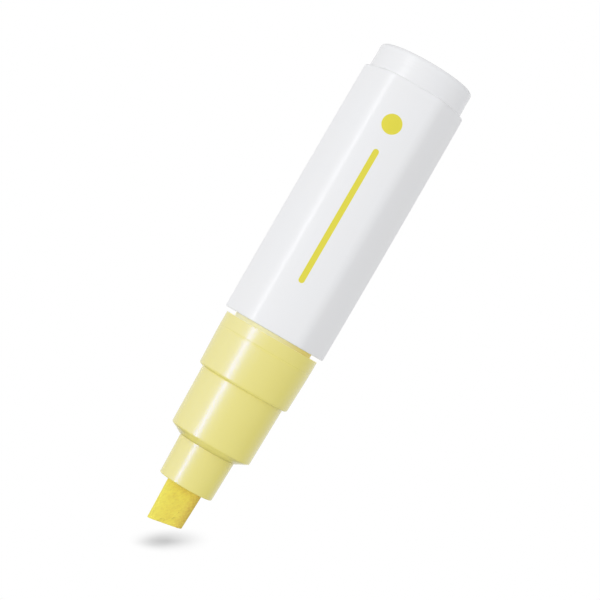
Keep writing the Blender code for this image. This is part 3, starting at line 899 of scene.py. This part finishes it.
tree = yellow_plastic.node_tree
shader = tree.nodes["Principled BSDF"]
axes = add_node(tree, "SeparateXYZ", Vector=object_place(tree)).outputs
neck_middle = (barrel_front + collar_rear) / 2
half_neck = NECK_LENGTH / 2 + COLLAR_REAR_EDGE
off_neck = calc(tree, "ABSOLUTE", calc(tree, "SUBTRACT", axes["Z"], neck_middle))
in_neck = stretch(tree, off_neck, half_neck, half_neck + NECK_SOFT_EDGE, 1.0, 0.0)
lit_side = stretch(tree, axes["X"], 0.0, GLOW_SPREAD)
dark_side = stretch(tree, axes["X"], -GLOW_SPREAD, 0.0, 1.0, 0.0)
# Painted light: the emission colour of the neck, paler on the lit side and warmer on the dark side.
glow = blend_colours(tree, lit_side, FRONT_GLOW, LIT_SIDE_GLOW)
glow = blend_colours(tree, dark_side, glow, DARK_SIDE_GLOW)
glow = blend_colours(tree, in_neck, NO_GLOW, glow)
bare_rough = shader.inputs["Roughness"].links[0].from_socket
rough = calc(tree, "MAXIMUM", bare_rough, calc(tree, "MULTIPLY", in_neck, NECK_ROUGHNESS))
fill_named(tree, shader, Emission_Color=glow, Emission_Strength=1.0, Roughness=rough)
print(f"glow {2 * half_neck / MM:.2f} mm wide round {neck_middle / MM:.1f} mm")

# %% [markdown]
# ## The printed barrel
# The barrel carries a print in the colour of its paint. A plain mark serves here: a dot, and a bar with
# round ends along the middle of the front face. Both are the same shape, a line segment with a thickness,
# so one group draws them. It measures how far a point is from the segment and compares that with half the
# thickness. Ink lies on top of the plastic, so it is a little duller.

# %% Group that draws a round-ended bar
BAR_SOFT_EDGE = 0.03 * MM

round_bar, bar_in, bar_out = start_group(
    "round_bar",
    {"Across": 0.0, "Start": 0.0, "End": 0.01, "Radius": 0.001},
    {"Mask": 0.0},
)
axes = add_node(round_bar, "SeparateXYZ", Vector=object_place(round_bar)).outputs
nearest = calc(round_bar, "MAXIMUM", axes["Z"], bar_in["Start"])
nearest = calc(round_bar, "MINIMUM", nearest, bar_in["End"])
aside = calc(round_bar, "SUBTRACT", axes["X"], bar_in["Across"])
along = calc(round_bar, "SUBTRACT", axes["Z"], nearest)
aside_squared = calc(round_bar, "MULTIPLY", aside, aside)
along_squared = calc(round_bar, "MULTIPLY", along, along)
distance = calc(round_bar, "SQRT", calc(round_bar, "ADD", aside_squared, along_squared))
outside = calc(round_bar, "SUBTRACT", distance, bar_in["Radius"])
inside = stretch(round_bar, outside, -BAR_SOFT_EDGE, BAR_SOFT_EDGE, 1.0, 0.0)
front_side = calc(round_bar, "LESS_THAN", axes["Y"], 0.0)
fill(round_bar, bar_out["Mask"], calc(round_bar, "MULTIPLY", inside, front_side))

# %% Printed white plastic
INK = (0.80, 0.725, 0.07, 1.0)
INK_ACROSS = 0.6 * MM
INK_ROUGHER = 0.06
DOT = {"Start": 16.0 * MM, "End": 16.0 * MM, "Radius": 2.3 * MM}
BAR = {"Start": 23.0 * MM, "End": 55.0 * MM, "Radius": 0.7 * MM}

printed_plastic = moulded_plastic(
    "printed_white_plastic", WHITE, WARM_WHITE, roughness=0.285, gloss=0.24, peel_height=PEEL_HEIGHT
)
tree = printed_plastic.node_tree
shader = tree.nodes["Principled BSDF"]
ink_mask = 0.0
for mark in (DOT, BAR):
    drawn = place_group(tree, round_bar, Across=INK_ACROSS, **mark)
    ink_mask = calc(tree, "MAXIMUM", drawn.outputs["Mask"], ink_mask)
bare_colour = shader.inputs["Base Color"].links[0].from_socket
bare_rough = shader.inputs["Roughness"].links[0].from_socket
colour = blend_colours(tree, ink_mask, bare_colour, INK)
rough = calc(tree, "ADD", bare_rough, calc(tree, "MULTIPLY", ink_mask, INK_ROUGHER))
fill_named(tree, shader, Base_Color=colour, Roughness=rough)
dress(printed_plastic, barrel_tube)

# %% [markdown]
# ## Fibre of the nib
# The nib is soaked with paint, so it is a much deeper yellow than the plastic. It has next to no gloss. Its
# colour drifts, and the edge on the lit side is painted paler, which is painted light. A picture of felt
# could be laid on it, but a few masks that are measured from the nib's own width give the same without one.

# %% Colour of the fibre
FELT = (0.902, 0.787, 0.124, 1.0)
DEEP_FELT = (0.82, 0.65, 0.091, 1.0)
LIT_SIDE_FELT = (0.945, 0.86, 0.138, 1.0)
FELT_SCALE = 900.0
LIT_EDGE_WIDTH = 3.2 * MM

nib_felt, tree, shader = start_material("nib_felt")
felt = place_group(tree, colour_drift, Colour=FELT, Other_Colour=DEEP_FELT, Scale=FELT_SCALE, Amount=0.6)
place = object_place(tree)
axes = add_node(tree, "SeparateXYZ", Vector=place).outputs
# Painted light: the edge on the lit side is painted paler.
painted_lit_edge = stretch(tree, axes["X"], nib_half_width - LIT_EDGE_WIDTH, nib_half_width)
soaked = blend_colours(tree, painted_lit_edge, felt.outputs["Colour"], LIT_SIDE_FELT)
print(f"painted lit edge {LIT_EDGE_WIDTH / MM:.1f} mm wide")

# %% [markdown]
# The other edge is painted deeper, which is painted shade on the side away from the lamp. The mouth of the
# sleeve is deeper too: partly old paint, partly painted shade under the sleeve, most on the shaded side.
# Both masks fade out and are broken up by a mottle, so that neither ends in a straight line, as paint that
# creeps along fibres never does.

# %% Old paint and painted shade on the fibre
PAINT_AND_SHADE = (0.69, 0.45, 0.085, 1.0)
EDGE_FLAT = 1.2 * MM
EDGE_WIDTH = 2.8 * MM
EDGE_STRENGTH = 0.75
MOUTH_WIDTH = 2.0 * MM
MOUTH_STRENGTH = 0.9
MOUTH_FAR_SHARE = 0.35
MOTTLE_SCALE = 1800.0
MOTTLE_BAND = (0.35, 0.65)
MOTTLE_LEAST = 0.35

mottle = noise_at(tree, place, MOTTLE_SCALE, Detail=3.0, Roughness=0.6)
mottled = stretch(tree, mottle, *MOTTLE_BAND, MOTTLE_LEAST)
edge_start = EDGE_FLAT - nib_half_width
edge_end = EDGE_WIDTH - nib_half_width
# Painted shade: the edge on the dark side is painted deeper.
painted_shade_edge = stretch(tree, axes["X"], edge_start, edge_end, EDGE_STRENGTH, 0.0)
# The mouth is deeper: partly old paint, partly painted shade under the sleeve, more on the dark side.
at_mouth = stretch(tree, axes["Z"], holder_front, holder_front + MOUTH_WIDTH, MOUTH_STRENGTH, 0.0)
across = stretch(tree, axes["X"], -nib_half_width, nib_half_width, 1.0, MOUTH_FAR_SHARE)
at_mouth = calc(tree, "MULTIPLY", at_mouth, across)
paint_and_painted_shade = calc(tree, "MULTIPLY", calc(tree, "MAXIMUM", painted_shade_edge, at_mouth), mottled)
soaked = blend_colours(tree, paint_and_painted_shade, soaked, PAINT_AND_SHADE)
print(f"painted shade and stain on {EDGE_WIDTH / MM:.1f} mm of the edge and {MOUTH_WIDTH / MM:.1f} mm of the mouth")

# %% [markdown]
# Single fibres show as faint streaks, with a few darker specks where they end. They lean like one of the
# two sets of ridges in the mesh, and a fine bump carries on from that relief.

# %% Streaks, specks and fine fibres
SPECK = (0.56, 0.42, 0.07, 1.0)
STRAND_SQUEEZE = (1.0, 1.0, 0.35)
STREAK_SCALE = 2600.0
STREAK_BAND = (0.45, 0.65)
STREAK_STRENGTH = 0.22
SPECK_SCALE = 1700.0
SPECK_BAND = (0.68, 0.76)
SPECK_STRENGTH = 0.65
FIBRE_SCALE = 6000.0
FIBRE_BAND = (0.2, 0.8)
FIBRE_BUMP = 0.03 * MM
FELT_ROUGHNESS = (0.75, 1.0)

leaning = tilted(tree, place, -FIBRE_LEAN)
strands = add_node(tree, "Mapping", Vector=leaning, Scale=STRAND_SQUEEZE).outputs[0]
streaks = noise_at(tree, strands, STREAK_SCALE, Detail=2.0, Distortion=1.0)
specks = noise_at(tree, strands, SPECK_SCALE, Detail=1.0, Distortion=0.6)
fibres = noise_at(tree, strands, FIBRE_SCALE, Detail=4.0, Roughness=0.7)
streak_mask = stretch(tree, streaks, *STREAK_BAND, 0.0, STREAK_STRENGTH)
speck_mask = stretch(tree, specks, *SPECK_BAND, 0.0, SPECK_STRENGTH)
dark_fibres = calc(tree, "MAXIMUM", streak_mask, speck_mask)
bump = add_node(tree, "Bump", Height=fibres, Strength=1.0, Distance=FIBRE_BUMP)
colour = blend_colours(tree, dark_fibres, soaked, SPECK)
rough = stretch(tree, fibres, *FIBRE_BAND, *FELT_ROUGHNESS)
fill_named(tree, shader, Base_Color=colour, Roughness=rough, Normal=bump.outputs[0])
dress(nib_felt, fibre_nib)

# %% [markdown]
# ## The inner pieces
# The valve works out of sight, but it gets real finishes too: unpigmented plastic for its body, stem and
# cage, black rubber for the seal, and steel for the spring and the two balls that stir the paint.

# %% Natural plastic
NATURAL = (0.74, 0.74, 0.70, 1.0)
CLOUDY_NATURAL = (0.66, 0.67, 0.64, 1.0)
NATURAL_PEEL = 0.004 * MM

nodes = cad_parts
natural_plastic = moulded_plastic(
    "natural_plastic",
    NATURAL,
    CLOUDY_NATURAL,
    roughness=0.38,
    gloss=0.5,
    peel_height=NATURAL_PEEL,
    drift=0.8,
)
dress(natural_plastic, nodes["valve_body"], nodes["spring_cage"], nodes["valve_stem"])

# %% Rubber
RUBBER = (0.035, 0.035, 0.038, 1.0)
DUSTY_RUBBER = (0.075, 0.074, 0.072, 1.0)
RUBBER_ROUGHNESS = (0.55, 0.75)
RUBBER_PEEL = 0.008 * MM

seal_rubber, tree, shader = start_material("seal_rubber")
bloom = place_group(tree, colour_drift, Colour=RUBBER, Other_Colour=DUSTY_RUBBER, Scale=700.0, Amount=0.8)
skin = place_group(tree, mould_skin, Peel_Scale=2000.0, Grain_Scale=12000.0, Grain_Share=0.5)
bump = add_node(tree, "Bump", Height=skin.outputs["Height"], Strength=1.0, Distance=RUBBER_PEEL)
rough = stretch(tree, skin.outputs["Dull Patches"], 0.0, 1.0, *RUBBER_ROUGHNESS)
fill_named(tree, shader, Base_Color=bloom.outputs["Colour"], Roughness=rough, Normal=bump.outputs[0])
dress(seal_rubber, nodes["valve_seal"])

# %% Steel
STEEL = (0.62, 0.62, 0.64, 1.0)
DULL_STEEL = (0.48, 0.47, 0.46, 1.0)
STEEL_ROUGHNESS = (0.2, 0.45)

steel, tree, shader = start_material("steel")
film = place_group(tree, colour_drift, Colour=STEEL, Other_Colour=DULL_STEEL, Scale=400.0, Amount=0.6)
marks = place_group(tree, fine_scratches, Scale=1500.0, Width=0.05)
rough = stretch(tree, marks.outputs["Lines"], 0.0, 1.0, *STEEL_ROUGHNESS)
fill_named(tree, shader, Base_Color=film.outputs["Colour"], Roughness=rough, Metallic=1.0)
dress(steel, coil_spring, nodes["mixing_ball_1"], nodes["mixing_ball_2"])

# %% [markdown]
# ## Where the camera stands
# The marker is shown nib down, leaning to the right. Its tail end curves one way and its front rims the
# other way, so the camera is close and stands opposite a point near the front of the barrel. From that
# place it aims at the middle of the picture and is rolled until the axis leans by the right angle.

# %% Camera
CAMERA_DISTANCE = 435.0 * MM
CAMERA_FOOT = 67.8 * MM
AIM_HEIGHT = 58.7 * MM
AIM_ASIDE = -1.27 * MM
LEAN = math.radians(30.1)
VIEW_WIDTH = 133.3 * MM
NEAREST_SEEN = 10.0 * MM

camera_place = Vector((AIM_ASIDE, -CAMERA_DISTANCE, CAMERA_FOOT))
aim = Vector((AIM_ASIDE, 0, AIM_HEIGHT))
forward = (aim - camera_place).normalized()
axis = Vector((0, 0, 1))
tail_up = -(axis - forward * axis.dot(forward)).normalized()
tail_right = forward.cross(tail_up)
picture_right = math.cos(LEAN) * tail_right + math.sin(LEAN) * tail_up
picture_up = math.cos(LEAN) * tail_up - math.sin(LEAN) * tail_right

camera_data = bpy.data.cameras.new("camera")
camera_data.lens = camera_data.sensor_width * (aim - camera_place).length / VIEW_WIDTH
camera_data.clip_start = NEAREST_SEEN
camera = add_object("camera", camera_data)
turn = Matrix((picture_right, picture_up, -forward)).transposed()
camera.matrix_world = Matrix.Translation(camera_place) @ turn.to_4x4()
bpy.context.scene.camera = camera
print(f"lens {camera_data.lens:.1f} mm")

# %% [markdown]
# ## Light from all round
# The studio is white to the camera. As light, the world changes from pole to pole along the marker's axis.
# It is brightest level with the marker, like soft lamps that stand round it, so that light falls straight
# into the grooves that run round it. It is dim just above and below that band, which shades the steps, and
# brighter again at the poles. A colour ramp is the simplest way to draw such a sky: it holds one brightness
# for each height above the horizon.

# %% Helpers for light from a direction
def around(angle):
    """Level direction from the marker, turned to the left of the picture by an angle."""
    return Vector((math.sin(angle), -math.cos(angle), 0))


def towards(tree, direction, way):
    """How much a direction points a given way, from -1 to 1."""
    node = tree.nodes.new("ShaderNodeVectorMath")
    node.operation = "DOT_PRODUCT"
    fill(tree, node.inputs[0], direction)
    fill(tree, node.inputs[1], way)
    return node.outputs["Value"]


def light_ramp(tree, place, levels):
    """Brightness along a place from 0 to 1, by a colour ramp with a stop for each (place, level)."""
    ramp = add_node(tree, "ValToRGB", Fac=place)
    stops = ramp.color_ramp.elements
    brightest = max(level for spot, level in levels)
    for spot, level in levels[1:-1]:
        stops.new(spot)
    for stop, (spot, level) in zip(stops, levels):
        stop.position = spot
        stop.color = (level / brightest,) * 3 + (1.0,)
    print("ramp of", len(stops), "stops")
    return calc(tree, "MULTIPLY", ramp.outputs["Color"], brightest)


# %% World
SKY = (
    (-1.0, 0.83),
    (-0.45, 0.69),
    (-0.3, 0.32),
    (-0.08, 1.22),
    (0.08, 1.28),
    (0.3, 0.41),
    (1.0, 0.83),
)

world = bpy.data.worlds.new("studio")
bpy.context.scene.world = world
world.use_nodes = True
tree = world.node_tree
direction = add_node(tree, "TexCoord").outputs["Generated"]
rise = towards(tree, direction, axis)
sky_levels = [((spot + 1) / 2, level) for spot, level in SKY]
light = light_ramp(tree, stretch(tree, rise, -1.0, 1.0), sky_levels)

# %% [markdown]
# What makes plastic look glossy is what it mirrors. For reflections the world is a panorama, drawn as a
# second ramp that runs once round the marker. It is bright on the left and dim on the right, so the gloss
# is pale on one side and the colour stays deep on the other. A narrow peak on the left is the strip that
# draws a bright line along every round piece. Towards both poles the panorama fades, so that end faces keep
# their colour.

# %% Panorama for reflections
PANORAMA = (
    (-180, 0.9),
    (-140, 0.9),
    (-95, 0.05),
    (-50, 0.3),
    (0, 0.8),
    (14, 1.3),
    (27, 2.5),
    (36, 6.5),
    (43, 11.0),
    (50, 6.5),
    (57, 3.15),
    (73, 2.15),
    (94, 1.8),
    (116, 1.25),
    (160, 0.9),
    (180, 0.9),
)
POLE_START = 0.25
POLE_END = 0.5
POLE_SHARE = 0.25
FULL_TURN = 360

leftward = towards(tree, direction, around(math.pi / 2))
frontward = towards(tree, direction, around(0))
bearing = stretch(tree, calc(tree, "ARCTAN2", leftward, frontward), -math.pi, math.pi)
bearing_levels = [((angle + FULL_TURN / 2) / FULL_TURN, level) for angle, level in PANORAMA]
mirrored = light_ramp(tree, bearing, bearing_levels)
fading = stretch(tree, calc(tree, "ABSOLUTE", rise), POLE_START, POLE_END, 1.0, POLE_SHARE)
gloss = calc(tree, "MULTIPLY", mirrored, fading)

# %% [markdown]
# A Light Path node tells what kind of ray is asking. The camera sees plain white, a reflection sees the
# panorama, and all other rays gather light from the first ramp.

# %% Choose by kind of ray
PURE_WHITE = (1.0, 1.0, 1.0, 1.0)

path = add_node(tree, "LightPath").outputs
lit = blend_colours(tree, path["Is Glossy Ray"], light, gloss)
seen = calc(tree, "MAXIMUM", path["Is Camera Ray"], path["Is Transmission Ray"])
fill(tree, tree.nodes["Background"].inputs["Color"], blend_colours(tree, seen, lit, PURE_WHITE))
print("world", world.name)

# %% [markdown]
# ## Floor
# The floor lies just under the nib and is there for the soft shadow. A lit floor would take on some yellow
# from the marker, so this one shines white by itself and its shadow is painted: an ambient occlusion node
# dims it where the space above a point is filled by the marker.
# It looks up and a little to the right, so the shadow lies to the left of the nib. Only the camera sees the
# floor, and only from above.

# %% Floor material
FLOOR_DIP = math.radians(13)
SHADOW_REACH = 7.3 * MM
SHADOW_LEAN = 0.48
SHADOW_CORE = 0.13
SHADOW_RIM = 0.96

floor_up = (math.cos(FLOOR_DIP) * picture_up - math.sin(FLOOR_DIP) * forward).normalized()
floor_material = bpy.data.materials.new("studio_floor")
floor_material.use_nodes = True
tree = floor_material.node_tree
tree.nodes.clear()
path = add_node(tree, "LightPath").outputs
shadow_way = (floor_up + SHADOW_LEAN * picture_right).normalized()
looking = add_node(tree, "CombineXYZ", X=shadow_way.x, Y=shadow_way.y, Z=shadow_way.z)
# Painted shadow: the floor's white emission is dimmed by ambient occlusion under the nib.
openness = add_node(tree, "AmbientOcclusion", Distance=SHADOW_REACH, Normal=looking.outputs[0])
tone = stretch(tree, openness.outputs["AO"], SHADOW_CORE, SHADOW_RIM)
floor_with_painted_shadow = add_node(tree, "Emission", Color=PURE_WHITE, Strength=tone)
clear = add_node(tree, "BsdfTransparent")
from_above = calc(tree, "SUBTRACT", 1.0, add_node(tree, "NewGeometry").outputs["Backfacing"])
shown = add_node(tree, "MixShader", Fac=calc(tree, "MULTIPLY", from_above, path["Is Camera Ray"]))
tree.links.new(clear.outputs[0], shown.inputs[1])
tree.links.new(floor_with_painted_shadow.outputs[0], shown.inputs[2])
tree.links.new(shown.outputs[0], add_node(tree, "OutputMaterial").inputs["Surface"])
print(f"shadow reaches {SHADOW_REACH / MM:.1f} mm")

# %% Floor sheet
FLOOR_GAP = 2.65 * MM
FLOOR_HALF = 1500.0 * MM
FLOOR_CELLS = 8

lowest = min((vert.co for vert in nodes["nib"].data.vertices), key=floor_up.dot)
shape = bmesh.new()
bmesh.ops.create_grid(shape, x_segments=FLOOR_CELLS, y_segments=FLOOR_CELLS, size=FLOOR_HALF)
floor_mesh = bpy.data.meshes.new("studio_floor")
shape.to_mesh(floor_mesh)
shape.free()
floor_mesh.materials.append(floor_material)
floor = add_object("studio_floor", floor_mesh)
floor_turn = floor_up.to_track_quat("Z", "Y").to_matrix().to_4x4()
floor.matrix_world = Matrix.Translation(lowest - floor_up * FLOOR_GAP) @ floor_turn
print(f"floor {FLOOR_GAP / MM:.1f} mm under the nib")

# %% [markdown]
# ## Key lamp
# One broad soft lamp stands level with the marker, a little to the left of the camera, and gives it a light
# side and a dark side. The panorama draws the reflections, so the lamp itself isn't mirrored.

# %% Key lamp
KEY_ANGLE = math.radians(26)
KEY_DISTANCE = 700.0 * MM
KEY_SIZE = (600.0 * MM, 250.0 * MM)
KEY_POWER = 1.15

key_data = bpy.data.lights.new("key_lamp", "AREA")
key_data.shape = "RECTANGLE"
key_data.size, key_data.size_y = KEY_SIZE
key_data.energy = KEY_POWER
key_lamp = add_object("key_lamp", key_data)
key_way = around(KEY_ANGLE)
key_place = aim + key_way * KEY_DISTANCE
key_turn = Matrix((axis.cross(key_way), axis, key_way)).transposed().to_4x4()
key_lamp.matrix_world = Matrix.Translation(key_place) @ key_turn
key_lamp.visible_glossy = False
bpy.context.scene.view_settings.view_transform = "Standard"
print("key lamp at", [round(value, 3) for value in key_place])
